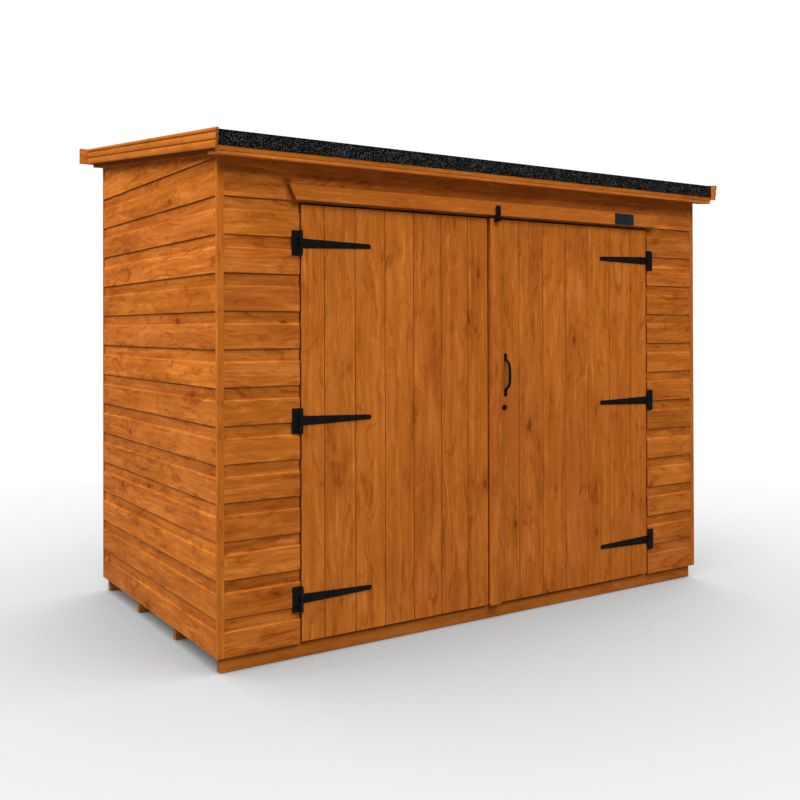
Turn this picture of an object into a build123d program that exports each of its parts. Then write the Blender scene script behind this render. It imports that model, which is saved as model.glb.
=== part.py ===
from build123d import *
import os
from math import atan, degrees, cos, sin

# Wooden bike shelter: a closed shed, about 7 ft by 4 ft, with a pair of
# outward opening doors and a single slope roof that rises to the back.
# Millimetres, +Z up. Front faces -Y. Ground at Z = 0.

os.makedirs("parts", exist_ok=True)

# ---------------------------------------------------------------- dimensions
width = 2128.0            # over the wall cladding, along X
depth = 1180.0            # over the wall cladding, along Y
base_h = 50.0             # ground to the lower edge of the cladding
front_h = 1520.0          # cladding height at the front wall
slope = 0.107             # roof rise for each mm towards the back
clad_t = 12.0             # wall boards
frame_t = 28.0            # wall framing, depth
frame_w = 38.0            # wall framing, width
corner_w = 22.0           # corner strip, along X
corner_d = 12.0           # and along Y

bearer_w = 25.0           # floor bearers
inset = 16.0              # floor edge behind the cladding face, at the sides
front_inset = 18.0        # floor edge behind the cladding face, front and back
deck_top = 8.0            # floor surface above the cladding's lower edge
deck_t = 12.0             # floor boards

front_over = 69.0         # felt face in front of the front wall
back_over = 76.0          # roof edge behind the back wall
side_over = 31.5          # roof edge beside the side walls
rail_h = 57.0             # roof rails
rail_w = 28.0
soffit_t = 11.0           # board under the front overhang
soffit_low = -4.0         # its underside above the roof underside
roof_deck_t = 11.0
felt_t = 3.0
felt_drop = 48.0          # felt turned down over the front edge
barge_t = 8.5             # grooved bargeboards
fascia_t = 14.0           # rear fascia
barge_h = 60.0
barge_low = 12.3          # bargeboard's lower edge above the roof underside
barge_nose = 22.0         # bargeboard in front of the felt
rear_horn = 28.0          # rear fascia beyond the bargeboards
groove_d = 3.0
groove_w = 6.0

side_panel = 279.0        # front wall beside the doorway
door_h0 = 5.0             # door edges above the cladding's lower edge
door_h1 = 1388.0
head_h = 1395.0           # underside of the front wall over the doorway
door_t = 12.0
leaf_gap = 6.0            # doorway edge to leaf
left_leaf_w = 747.0
meet_gap = 7.0
strip_w = 47.0
strip_t = 12.0
ledge_h = 70.0
ledge_t = 22.0

hinge_z = (141.0, 703.0, 1265.0)     # hinge centres above the cladding edge
plate_w = 29.0
plate_h = 80.0
plate_t = 3.0
pin_y = -8.5              # hinge axis in front of the wall face
barrel_r = 5.5
pin_r = 2.5
strap_len = 262.0
strap_h0 = 30.0
strap_h1 = 15.0

drip_t = 22.0
drip_h = 50.0

# ---------------------------------------------------------------- frame
x0 = -width / 2                       # left wall face
x1 = width / 2
y0 = -(back_over + depth + fascia_t - barge_nose - front_over) / 2   # front wall face
y1 = y0 + depth                       # back wall face
z0 = base_h                           # lower edge of the cladding


def under(y):
    """Underside of the roof at y."""
    return z0 + front_h + slope * (y - y0)


yf = y0 - front_over                  # felt face
yr = y1 + back_over                   # front face of the rear fascia
xl = x0 - side_over                   # inner face of the left bargeboard
xr = x1 + side_over
door_l = x0 + side_panel              # doorway edges
door_r = x1 - side_panel
leaf_l0 = door_l + leaf_gap
leaf_l1 = leaf_l0 + left_leaf_w
leaf_r0 = leaf_l1 + meet_gap
leaf_r1 = door_r - leaf_gap
pin_l = door_l + 1.0                  # hinge axes
pin_r_x = door_r - 1.0


def save(builder, name):
    builder.part.label = name
    export_step(builder.part, f"parts/{name}.step")


# ---------------------------------------------------------------- base
with BuildPart() as kick_board:
    with BuildSketch(Plane.YZ.offset(x0 + inset)):
        with Locations((y0 + front_inset + bearer_w / 2, (z0 + deck_top - deck_t) / 2)):
            RectangleRounded(bearer_w, z0 + deck_top - deck_t, 2.5)
    extrude(amount=width - 2 * inset)
save(kick_board, "kick_board")

bearer_ys = (y0 + 398, y0 + 776, y1 - front_inset - bearer_w)
with BuildPart() as floor_bearers:
    for by in bearer_ys:
        with BuildSketch(Plane.XY):
            with Locations((0, by + bearer_w / 2)):
                Rectangle(width - 2 * inset, bearer_w)
        extrude(amount=z0 + deck_top - deck_t)
save(floor_bearers, "floor_bearers")

with BuildPart() as floor_deck:
    with BuildSketch(Plane.XY.offset(z0 + deck_top - deck_t)):
        with Locations((0, (y0 + y1) / 2)):
            Rectangle(width - 2 * inset, depth - 2 * front_inset)
    extrude(amount=deck_t)
save(floor_deck, "floor_deck")

# ---------------------------------------------------------------- cladding
side_profile = [
    (y0 + corner_d, z0), (y1 - corner_d, z0),
    (y1 - corner_d, under(y1 - corner_d)), (y0 + corner_d, under(y0 + corner_d)),
]
with BuildPart() as left_wall:
    with BuildSketch(Plane.YZ.offset(x0)):
        with BuildLine():
            Polyline(*side_profile, close=True)
        make_face()
    extrude(amount=clad_t)
save(left_wall, "left_wall")

with BuildPart() as right_wall:
    with BuildSketch(Plane.YZ.offset(x1 - clad_t)):
        with BuildLine():
            Polyline(*side_profile, close=True)
        make_face()
    extrude(amount=clad_t)
save(right_wall, "right_wall")

with BuildPart() as back_wall:
    with BuildSketch(Plane.YZ.offset(x0 + corner_w)):
        with BuildLine():
            Polyline((y1 - clad_t, z0), (y1, z0), (y1, under(y1)), (y1 - clad_t, under(y1 - clad_t)), close=True)
        make_face()
    extrude(amount=width - 2 * corner_w)
save(back_wall, "back_wall")

front_profile = [(y0, z0), (y0 + clad_t, z0), (y0 + clad_t, under(y0 + clad_t)), (y0, under(y0))]
with BuildPart() as front_wall_left:
    with BuildSketch(Plane.YZ.offset(x0 + corner_w)):
        with BuildLine():
            Polyline(*front_profile, close=True)
        make_face()
    extrude(amount=side_panel - corner_w)
save(front_wall_left, "front_wall_left")

with BuildPart() as front_wall_right:
    with BuildSketch(Plane.YZ.offset(door_r)):
        with BuildLine():
            Polyline(*front_profile, close=True)
        make_face()
    extrude(amount=side_panel - corner_w)
save(front_wall_right, "front_wall_right")

with BuildPart() as front_header:
    with BuildSketch(Plane.YZ.offset(door_l)):
        with BuildLine():
            Polyline((y0, z0 + head_h), (y0 + clad_t, z0 + head_h),
                     (y0 + clad_t, under(y0 + clad_t)), (y0, under(y0)), close=True)
        make_face()
    extrude(amount=door_r - door_l)
save(front_header, "front_header")

# square strips that the wall boards butt against at the corners
for strip_name, sx, sy in (
    ("corner_front_left", x0, y0), ("corner_front_right", x1 - corner_w, y0),
    ("corner_back_left", x0, y1 - corner_d), ("corner_back_right", x1 - corner_w, y1 - corner_d),
):
    with BuildPart() as corner_strip:
        with BuildSketch(Plane.YZ.offset(sx)):
            with BuildLine():
                Polyline((sy, z0), (sy + corner_d, z0), (sy + corner_d, under(sy + corner_d)), (sy, under(sy)), close=True)
            make_face()
        extrude(amount=corner_w)
    save(corner_strip, strip_name)

# ---------------------------------------------------------------- wall framing
zf = z0 + deck_top                     # floor surface
yi0 = y0 + clad_t                      # inside of the front boards
yi1 = y1 - clad_t - frame_t            # front of the back framing
low_rail = zf + frame_w


def rail_top(y):
    return under(y) - frame_w


with BuildPart() as back_wall_studs:
    for cx in (x0 + corner_w + frame_w / 2, -514.0, 0.0, 514.0, x1 - corner_w - frame_w / 2):
        with BuildSketch(Plane.YZ.offset(cx - frame_w / 2)):
            with BuildLine():
                Polyline((yi1, low_rail), (yi1 + frame_t, low_rail),
                         (yi1 + frame_t, rail_top(yi1 + frame_t)), (yi1, rail_top(yi1)), close=True)
            make_face()
        extrude(amount=frame_w)
save(back_wall_studs, "back_wall_studs")

with BuildPart() as back_wall_rails:
    with BuildSketch(Plane.YZ.offset(x0 + corner_w)):
        with Locations((yi1 + frame_t / 2, zf + frame_w / 2)):
            Rectangle(frame_t, frame_w)
        with BuildLine():
            Polyline((yi1, rail_top(yi1)), (yi1 + frame_t, rail_top(yi1 + frame_t)),
                     (yi1 + frame_t, under(yi1 + frame_t)), (yi1, under(yi1)), close=True)
        make_face()
    extrude(amount=width - 2 * corner_w)
save(back_wall_rails, "back_wall_rails")

ys0 = y0 + clad_t + frame_t            # side framing runs between these
ys1 = yi1
for side_name, sx in (("left", x0 + clad_t), ("right", x1 - clad_t - frame_t)):
    with BuildPart() as side_studs:
        for sy in (ys0, (ys0 + ys1) / 2 - frame_w / 2, ys1 - frame_w):
            with BuildSketch(Plane.YZ.offset(sx)):
                with BuildLine():
                    Polyline((sy, low_rail), (sy + frame_w, low_rail),
                             (sy + frame_w, rail_top(sy + frame_w)), (sy, rail_top(sy)), close=True)
                make_face()
            extrude(amount=frame_t)
    save(side_studs, side_name + "_wall_studs")

    with BuildPart() as side_rails:
        with BuildSketch(Plane.YZ.offset(sx)):
            with BuildLine():
                Polyline((ys0, zf), (ys1, zf), (ys1, low_rail), (ys0, low_rail), close=True)
            make_face()
            with BuildLine():
                Polyline((ys0, rail_top(ys0)), (ys1, rail_top(ys1)), (ys1, under(ys1)), (ys0, under(ys0)), close=True)
            make_face()
        extrude(amount=frame_t)
    save(side_rails, side_name + "_wall_rails")

front_rail_low = z0 + front_h - frame_w
with BuildPart() as front_posts:
    for px in (x0 + corner_w, door_l - frame_w, door_r, x1 - corner_w - frame_w):
        with BuildSketch(Plane.XY.offset(low_rail)):
            with Locations((px + frame_w / 2, yi0 + frame_t / 2)):
                Rectangle(frame_w, frame_t)
        extrude(amount=front_rail_low - low_rail)
save(front_posts, "front_posts")

with BuildPart() as front_rails:
    # sole pieces beside the doorway
    for px in (x0 + corner_w, door_r):
        with BuildSketch(Plane.XY.offset(zf)):
            with Locations((px + (side_panel - corner_w) / 2, yi0 + frame_t / 2)):
                Rectangle(side_panel - corner_w, frame_t)
        extrude(amount=frame_w)
    # rail over the doorway
    with BuildSketch(Plane.XY.offset(z0 + head_h)):
        with Locations(((door_l + door_r) / 2, yi0 + frame_t / 2)):
            Rectangle(door_r - door_l, frame_t)
    extrude(amount=frame_w)
    # top rail under the roof
    with BuildSketch(Plane.YZ.offset(x0 + corner_w)):
        with BuildLine():
            Polyline((yi0, front_rail_low), (yi0 + frame_t, front_rail_low),
                     (yi0 + frame_t, under(yi0 + frame_t)), (yi0, under(yi0)), close=True)
        make_face()
    extrude(amount=width - 2 * corner_w)
save(front_rails, "front_rails")

# ---------------------------------------------------------------- roof
def slab_profile(ya, yb, low, high):
    """Profile that follows the roof's slope, low to high above its underside."""
    return [(ya, under(ya) + low), (yb, under(yb) + low), (yb, under(yb) + high), (ya, under(ya) + high)]


rail_y0 = yf + felt_t + 16.0
soffit_top = soffit_low + soffit_t
with BuildPart() as roof_side_rails:
    for sx in (x0 + clad_t - rail_w, x1 - clad_t):
        with BuildSketch(Plane.YZ.offset(sx)):
            with BuildLine():
                # notched over the soffit board
                Polyline((rail_y0, under(rail_y0) + soffit_top), (y0, under(y0) + soffit_top), (y0, under(y0)),
                         (yr, under(yr)), (yr, under(yr) + rail_h), (rail_y0, under(rail_y0) + rail_h), close=True)
            make_face()
        extrude(amount=rail_w)
save(roof_side_rails, "roof_side_rails")

with BuildPart() as roof_cross_rails:
    with BuildSketch(Plane.YZ.offset(x0 + clad_t)):
        for ya, low in ((rail_y0, soffit_top), (y0, 0), ((y0 + y1) / 2 - 14, 0), (y1 - 28, 0), (yr - 28, 0)):
            with BuildLine():
                Polyline(*slab_profile(ya, ya + 28, low, rail_h), close=True)
            make_face()
    extrude(amount=width - 2 * clad_t)
save(roof_cross_rails, "roof_cross_rails")

with BuildPart() as eaves_soffit:
    with BuildSketch(Plane.YZ.offset(xl + 2.5)):
        with BuildLine():
            Polyline(*slab_profile(yf + felt_t, y0, soffit_low, soffit_top), close=True)
        make_face()
    extrude(amount=xr - xl - 5)
save(eaves_soffit, "eaves_soffit")

with BuildPart() as roof_deck:
    with BuildSketch(Plane.YZ.offset(xl)):
        with BuildLine():
            Polyline(*slab_profile(yf + felt_t, yr, rail_h, rail_h + roof_deck_t), close=True)
        make_face()
    extrude(amount=xr - xl)
save(roof_deck, "roof_deck")

felt_low = rail_h + roof_deck_t
with BuildPart() as roof_felt:
    with BuildSketch(Plane.YZ.offset(xl)):
        with BuildLine():
            Polyline(
                (yf, under(yf) + felt_low + felt_t), (yr, under(yr) + felt_low + felt_t),
                (yr, under(yr) + felt_low), (yf + felt_t, under(yf + felt_t) + felt_low),
                (yf + felt_t, under(yf) + felt_low + felt_t - felt_drop),
                (yf, under(yf) + felt_low + felt_t - felt_drop), close=True)
        make_face()
    extrude(amount=xr - xl)
save(roof_felt, "roof_felt")

with BuildPart() as eaves_board:
    ya = yf + felt_t
    with BuildSketch(Plane.YZ.offset(xl)):
        with BuildLine():
            Polyline((ya, under(ya) + soffit_top), (ya + 16, under(ya + 16) + soffit_top),
                     (ya + 16, under(ya + 16) + rail_h), (ya, under(ya) + rail_h), close=True)
        make_face()
    extrude(amount=xr - xl)
save(eaves_board, "eaves_board")


def grooved(t, h, low, high):
    """Section of a board with two grooves in its outer face, centred at low and high; outer face at x = 0, lower edge at y = 0."""
    pts = [(0, 2), (0, low - groove_w / 2), (groove_d, low), (0, low + groove_w / 2),
           (0, high - groove_w / 2), (groove_d, high), (0, high + groove_w / 2),
           (0, h - 2), (2, h), (t, h), (t, 0), (2, 0)]
    return pts


tilt = atan(slope)
barge_len = (yr - (yf - barge_nose)) / cos(tilt) + 12
barge_y = yf - barge_nose + barge_h * sin(tilt)
# the same moulding stands one way up on the left and the other way up on the right
for side_name, flip, bx, low, high in (("left", 1, xl - barge_t, 24.0, 47.0), ("right", -1, xr + barge_t, 13.0, 36.0)):
    with BuildPart() as bargeboard:
        sect = Plane(origin=(bx, barge_y, under(barge_y) + barge_low),
                     x_dir=(1, 0, 0), z_dir=(0, -cos(tilt), -sin(tilt)))
        with BuildSketch(sect):
            with BuildLine():
                Polyline(*[(flip * gx, gy) for gx, gy in grooved(barge_t, barge_h, low, high)], close=True)
            make_face()
        extrude(amount=-barge_len)
        # plumb cut against the rear fascia
        with BuildSketch(Plane.XZ.offset(-yr)):
            with Locations((bx, under(yr) + 60)):
                Rectangle(200, 400)
        extrude(amount=-100, mode=Mode.SUBTRACT)
    save(bargeboard, side_name + "_bargeboard")

with BuildPart() as rear_fascia:
    rear_low = under(yr) + barge_low
    with BuildSketch(Plane.YZ.offset(xl - barge_t - rear_horn)):
        with BuildLine():
            Polyline(*[(yr + fascia_t - gx, rear_low + gy) for gx, gy in grooved(fascia_t, barge_h, 24.0, 47.0)], close=True)
        make_face()
    extrude(amount=xr - xl + 2 * (barge_t + rear_horn))
save(rear_fascia, "rear_fascia")

# ---------------------------------------------------------------- over the doors
drip_z0 = z0 + head_h + 4.0
with BuildPart() as drip_board:
    with BuildSketch(Plane.XZ.offset(-y0)):
        with BuildLine():
            Polyline((-808, drip_z0), (808, drip_z0), (831, drip_z0 + drip_h), (-831, drip_z0 + drip_h), close=True)
        make_face()
    extrude(amount=drip_t)
    chamfer(drip_board.edges().filter_by(Axis.X).group_by(Axis.Z)[-1].sort_by(Axis.Y)[0], length=5)
save(drip_board, "drip_board")

plate_x = x0 + 1700.0
with BuildPart() as name_plate:
    with BuildSketch(Plane.XZ.offset(-(y0 - drip_t))):
        with Locations((plate_x, drip_z0 + 23.2)):
            RectangleRounded(101, 43.5, 2)
    extrude(amount=2.5)
save(name_plate, "name_plate")

# ---------------------------------------------------------------- doors
zd0 = z0 + door_h0
zd1 = z0 + door_h1
with BuildPart() as left_door_boards:
    with BuildSketch(Plane.XZ.offset(-y0)):
        with Locations(((leaf_l0 + leaf_l1) / 2, (zd0 + zd1) / 2)):
            Rectangle(left_leaf_w, zd1 - zd0)
    extrude(amount=-door_t)
save(left_door_boards, "left_door_boards")

# bored hole under the handle
lock_x = x0 + 1110.0
lock_z = z0 + 705.0
lock_r = 12.5
with BuildPart() as right_door_boards:
    with BuildSketch(Plane.XZ.offset(-y0)):
        with Locations(((leaf_r0 + leaf_r1) / 2, (zd0 + zd1) / 2)):
            Rectangle(leaf_r1 - leaf_r0, zd1 - zd0)
        with Locations((lock_x, lock_z)):
            Circle(lock_r, mode=Mode.SUBTRACT)
    extrude(amount=-door_t)
save(right_door_boards, "right_door_boards")

ledge_z = [z0 + h for h in hinge_z]
for side_name, ex0, ex1 in (("left", leaf_l0 + 18, leaf_l1 - 30), ("right", leaf_r0 + 30, leaf_r1 - 18)):
    with BuildPart() as door_ledges:
        with BuildSketch(Plane.XZ.offset(-(y0 + door_t))):
            for lz in ledge_z:
                with Locations(((ex0 + ex1) / 2, lz)):
                    Rectangle(ex1 - ex0, ledge_h)
            if side_name == "right":
                # cleared behind the bored hole
                with Locations((lock_x, lock_z)):
                    Circle(lock_r + 3.5, mode=Mode.SUBTRACT)
        extrude(amount=-ledge_t)
        chamfer(door_ledges.faces().sort_by(Axis.Y)[-1].edges().filter_by(Axis.X), length=2)
    save(door_ledges, side_name + "_door_ledges")

    # braces rise from the hinge side to the meeting edge
    with BuildPart() as door_braces:
        hx, mx = (ex0, ex1) if side_name == "left" else (ex1, ex0)
        s = 1 if mx > hx else -1
        with BuildSketch(Plane.XZ.offset(-(y0 + door_t))):
            for k in (0, 1):
                za, zb = ledge_z[k] + ledge_h / 2, ledge_z[k + 1] - ledge_h / 2
                with BuildLine():
                    Polyline((hx + s * 40, za), (hx + s * 130, za), (mx - s * 40, zb), (mx - s * 130, zb), close=True)
                make_face()
        extrude(amount=-ledge_t)
    save(door_braces, side_name + "_door_braces")

with BuildPart() as cover_strip:
    with BuildSketch(Plane.XZ.offset(-y0)):
        with Locations((leaf_r0 + strip_w / 2, (z0 + 3 + zd1) / 2)):
            Rectangle(strip_w, zd1 - z0 - 3)
    extrude(amount=strip_t)
    chamfer(cover_strip.faces().sort_by(Axis.Y)[0].edges().filter_by(Axis.Z), length=1.5)
save(cover_strip, "cover_strip")

# ---------------------------------------------------------------- hinges
for side_name, s, px, leaf_x in (("left", 1, pin_l, leaf_l0), ("right", -1, pin_r_x, leaf_r1)):
    # wall plates, each with two outer knuckles and the pin
    with BuildPart() as hinge_plates:
        for hz in hinge_z:
            cz = z0 + hz
            with BuildSketch(Plane.XZ.offset(-y0)):
                with Locations((px - s * (1.0 + plate_w / 2), cz)):
                    RectangleRounded(plate_w, plate_h, 2)
            extrude(amount=plate_t)
            for kz in (cz - plate_h / 2, cz + 14):
                with BuildSketch(Plane.XY.offset(kz)):
                    with Locations((px, y0 + pin_y)):
                        Circle(barrel_r)
                    with Locations((px - s * 4.75, y0 - 2.75)):
                        Rectangle(8.5, 5.5)
                extrude(amount=plate_h / 2 - 14)
            with BuildSketch(Plane.XY.offset(cz - plate_h / 2)):
                with Locations((px, y0 + pin_y)):
                    Circle(pin_r)
            extrude(amount=plate_h)
    save(hinge_plates, side_name + "_hinge_plates")

    # tapered straps, each with the middle knuckle
    with BuildPart() as hinge_straps:
        for hz in hinge_z:
            cz = z0 + hz
            with BuildSketch(Plane.XZ.offset(-y0)):
                with BuildLine():
                    Polyline((px + s * 6.5, cz - 13.5), (px + s * 8, cz - strap_h0 / 2), (px + s * (strap_len - strap_h1 / 2), cz - strap_h1 / 2),
                             (px + s * (strap_len - strap_h1 / 2), cz + strap_h1 / 2), (px + s * 8, cz + strap_h0 / 2), (px + s * 6.5, cz + 13.5), close=True)
                make_face()
                with Locations((px + s * (strap_len - strap_h1 / 2), cz)):
                    Circle(strap_h1 / 2)
            extrude(amount=plate_t)
            with BuildSketch(Plane.XY.offset(cz - 13.5)):
                with Locations((px, y0 + pin_y)):
                    Circle(barrel_r)
                with Locations((px + s * 5.0, y0 - 3.0)):
                    Rectangle(8.0, 5.0)
                with Locations((px, y0 + pin_y)):
                    Circle(pin_r + 0.3, mode=Mode.SUBTRACT)
            extrude(amount=27)
    save(hinge_straps, side_name + "_hinge_straps")

# ---------------------------------------------------------------- handle and latch
handle_x = x0 + 1113.0
hz0, hz1 = z0 + 748.0, z0 + 903.0
with BuildPart() as door_handle:
    for fz in (hz0 + 14, hz1 - 14):
        with BuildSketch(Plane.XZ.offset(-y0)):
            with Locations((handle_x, fz)):
                RectangleRounded(12, 28, 2)
        extrude(amount=4)
    with BuildLine() as bow:
        FilletPolyline((handle_x, y0 - 2, hz0 + 22), (handle_x, y0 - 26, hz0 + 46),
                       (handle_x, y0 - 26, hz1 - 46), (handle_x, y0 - 2, hz1 - 22), radius=30)
    with BuildSketch(Plane(origin=bow.line @ 0, z_dir=bow.line % 0)):
        Circle(4.5)
    sweep(path=bow.line)
    # the feet stay flat against the door
    with BuildSketch(Plane.XZ.offset(-y0)):
        with Locations((handle_x, (hz0 + hz1) / 2)):
            Rectangle(60, 200)
    extrude(amount=-20, mode=Mode.SUBTRACT)
save(door_handle, "door_handle")

latch_x = leaf_r0 + strip_w / 2 - 2
latch_y = y0 - drip_t - 6.0            # back of the latch bar, clear of the drip board
with BuildPart() as door_latch:
    with BuildSketch(Plane.XZ.offset(-latch_y)):
        with Locations((latch_x, z0 + 1404.5)):
            RectangleRounded(20, 57, 3)
    extrude(amount=4)
    # stand-off that carries the bar on the cover strip
    with BuildSketch(Plane.XZ.offset(-(y0 - strip_t))):
        with Locations((latch_x, z0 + 1381.0)):
            RectangleRounded(16, 9, 2)
    extrude(amount=y0 - strip_t - latch_y)
save(door_latch, "door_latch")

print("front wall y", y0, "back wall y", y1, "felt y", yf, "rear y", yr, "pins", pin_l, pin_r_x, "pin y", y0 + pin_y)
print("leaves", leaf_l0, leaf_l1, leaf_r0, leaf_r1)
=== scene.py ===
import bpy
import bmesh
import math
import random
from mathutils import Matrix, Vector, noise


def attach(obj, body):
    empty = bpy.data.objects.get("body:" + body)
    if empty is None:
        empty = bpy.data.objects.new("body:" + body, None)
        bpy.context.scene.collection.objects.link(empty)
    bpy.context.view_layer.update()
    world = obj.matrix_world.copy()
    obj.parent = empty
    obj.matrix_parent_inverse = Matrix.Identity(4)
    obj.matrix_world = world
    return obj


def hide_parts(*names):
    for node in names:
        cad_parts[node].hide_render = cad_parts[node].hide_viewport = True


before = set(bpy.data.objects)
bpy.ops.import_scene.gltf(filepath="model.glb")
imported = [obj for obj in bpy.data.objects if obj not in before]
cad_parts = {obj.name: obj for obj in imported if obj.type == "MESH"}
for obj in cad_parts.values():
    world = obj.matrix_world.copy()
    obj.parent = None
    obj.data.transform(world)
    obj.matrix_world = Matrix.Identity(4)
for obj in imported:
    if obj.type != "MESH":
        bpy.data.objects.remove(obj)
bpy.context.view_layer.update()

# ------------------------------------------------------------------ dimensions, metres
W, D = 2.128, 1.180
X0, X1 = -W / 2, W / 2
Y0 = -0.5895
Y1 = Y0 + D
Z0 = 0.050
PITCH = 0.1165           # shiplap cover
SLOPE = 0.107
CLAD = 0.012
FT, FW = 0.028, 0.038    # framing
CORNER = 0.022           # corner strip along X
COR_D = 0.012            # and along Y
DOOR_L, DOOR_R = X0 + 0.279, X1 - 0.279
LEAF_L0, LEAF_L1 = DOOR_L + 0.006, DOOR_L + 0.753
LEAF_R0, LEAF_R1 = LEAF_L1 + 0.007, DOOR_R - 0.006
PIN_L, PIN_R = DOOR_L + 0.001, DOOR_R - 0.001
PIN_Y = Y0 - 0.0085
ZD0, ZD1 = Z0 + 0.005, Z0 + 1.388
HINGE_Z = (Z0 + 0.141, Z0 + 0.703, Z0 + 1.265)
YF = Y0 - 0.069          # felt face
YR = Y1 + 0.076          # front of the rear fascia
XL, XR = X0 - 0.0315, X1 + 0.0315
RAIL = 0.057
DRIP_Z = Z0 + 1.399

X, Y, Z = Vector((1, 0, 0)), Vector((0, 1, 0)), Vector((0, 0, 1))
UP_ROOF = Vector((0, 1, SLOPE))


def under(y):
    return Z0 + 1.520 + SLOPE * (y - Y0)


# ------------------------------------------------------------------ profiles
def round_poly(pts, r, n=2):
    """Closed outline with its corners rounded; r is one radius or one for each corner."""
    out = []
    k = len(pts)
    for i in range(k):
        p0, p1, p2 = Vector(pts[i - 1]), Vector(pts[i]), Vector(pts[(i + 1) % k])
        ri = r[i] if isinstance(r, (list, tuple)) else r
        a, b = p0 - p1, p2 - p1
        if ri <= 0 or a.length < 1e-9 or b.length < 1e-9:
            out.append(tuple(p1))
            continue
        t = min(ri, a.length * 0.45, b.length * 0.45)
        pa, pb = p1 + a.normalized() * t, p1 + b.normalized() * t
        for j in range(n + 1):
            f = j / n
            q = pa * (1 - f) ** 2 + p1 * 2 * f * (1 - f) + pb * f ** 2
            out.append(tuple(q))
    return out


def rect(a0, a1, o0, o1, r=0.0015, n=2):
    return round_poly([(a0, o0), (a1, o0), (a1, o1), (a0, o1)], r, n)


def mm(pts):
    return [(a * 0.001, o * 0.001) for a, o in pts]


# ------------------------------------------------------------------ boards with grain
class Boards:
    """Boards gathered into one mesh. Each has its own grain coordinates (along, across, depth) and its own random numbers."""

    def __init__(self, seed):
        self.bm = bmesh.new()
        self.g = self.bm.verts.layers.float_vector.new("grain")
        self.b = self.bm.verts.layers.float_vector.new("board")
        # a weight for painted shade, read by the wood material
        self.d = self.bm.verts.layers.float.new("painted_shade")
        self.e = self.bm.faces.layers.float.new("endgrain")
        self.rng = random.Random(seed)

    def prism(self, prof, origin, along, across, out, s0, s1, cuts=(), step=0.0, bow=0.0, shade=None, painted_shade=None):
        rng, bm = self.rng, self.bm
        off = Vector((rng.uniform(0, 60), rng.uniform(0, 6), rng.uniform(0, 6)))
        bd = Vector((rng.random() if shade is None else shade, rng.random(), rng.random()))
        ph = rng.uniform(0, 100)
        origin = Vector(origin)
        n = 1
        if step:
            n = max(1, int(abs((s1 - s0)) / step + 0.5))
        rings = []
        for i in range(n + 1):
            ring = []
            for a, o in prof:
                base = origin + across * a + out * o
                e0 = s0(base) if callable(s0) else s0
                e1 = s1(base) if callable(s1) else s1
                s = e0 + (e1 - e0) * i / n
                p = base + along * s
                if bow:
                    p += out * (bow * (noise.noise(Vector((s * 1.7 + ph, ph, 0))))) + across * (bow * 0.5 * noise.noise(Vector((s * 1.3, ph, 9.0))))
                v = bm.verts.new(p)
                v[self.g] = Vector((s * along.length, a, o)) + off
                v[self.b] = bd
                v[self.d] = painted_shade(a, o) if painted_shade else 0.0
                ring.append(v)
            rings.append(ring)
        made = []
        k = len(prof)
        for i in range(n):
            for j in range(k):
                q = (rings[i][j], rings[i][(j + 1) % k], rings[i + 1][(j + 1) % k], rings[i + 1][j])
                made.append(bm.faces.new(q))
        for ring in (rings[0], rings[-1]):
            # end caps get their own vertices' faces and the end grain mark
            f = bm.faces.new(ring)
            f[self.e] = 1.0
            made.append(f)
        for co, no in cuts:
            geom = [v for ring in rings for v in ring if v.is_valid]
            faces = [f for f in made if f.is_valid]
            edges = list({e for f in faces for e in f.edges})
            geom = list({v for f in faces for v in f.verts})
            res = bmesh.ops.bisect_plane(bm, geom=geom + edges + faces, plane_co=co, plane_no=no, clear_outer=True, dist=1e-7)
            cut_edges = [g for g in res["geom_cut"] if isinstance(g, bmesh.types.BMEdge)]
            if cut_edges:
                fill = bmesh.ops.holes_fill(bm, edges=cut_edges, sides=0)
                for f in fill["faces"]:
                    f[self.e] = 1.0
            made = [f for f in made if f.is_valid]
        return made

    def bar(self, x, y, z, axis, r=0.0015, step=0.0, bow=0.0, shade=None):
        """A square timber between two corners, with eased arrises, its grain along axis."""
        (x0, x1), (y0, y1), (z0, z1) = x, y, z
        if axis == "X":
            self.prism(rect(y0, y1, z0, z1, r), (0, 0, 0), X, Y, Z, x0, x1, step=step, bow=bow, shade=shade)
        elif axis == "Y":
            self.prism(rect(x0, x1, z0, z1, r), (0, 0, 0), Y, X, Z, y0, y1, step=step, bow=bow, shade=shade)
        else:
            self.prism(rect(x0, x1, y0, y1, r), (0, 0, 0), Z, X, Y, z0, z1, step=step, bow=bow, shade=shade)

    def done(self, name, body, mat, nodes=(), smooth=20):
        bm = self.bm
        bmesh.ops.recalc_face_normals(bm, faces=bm.faces)
        me = bpy.data.meshes.new(name)
        bm.to_mesh(me)
        bm.free()
        return place(name, me, body, mat, nodes, smooth)


def place(name, me, body, mat, nodes=(), smooth=35):
    ob = bpy.data.objects.new(name, me)
    bpy.context.scene.collection.objects.link(ob)
    for m in (mat if isinstance(mat, (list, tuple)) else [mat]):
        me.materials.append(m)
    for p in me.polygons:
        p.use_smooth = True
    me.set_sharp_from_angle(angle=math.radians(smooth))
    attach(ob, body)
    if nodes:
        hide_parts(*nodes)
    return ob


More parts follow.
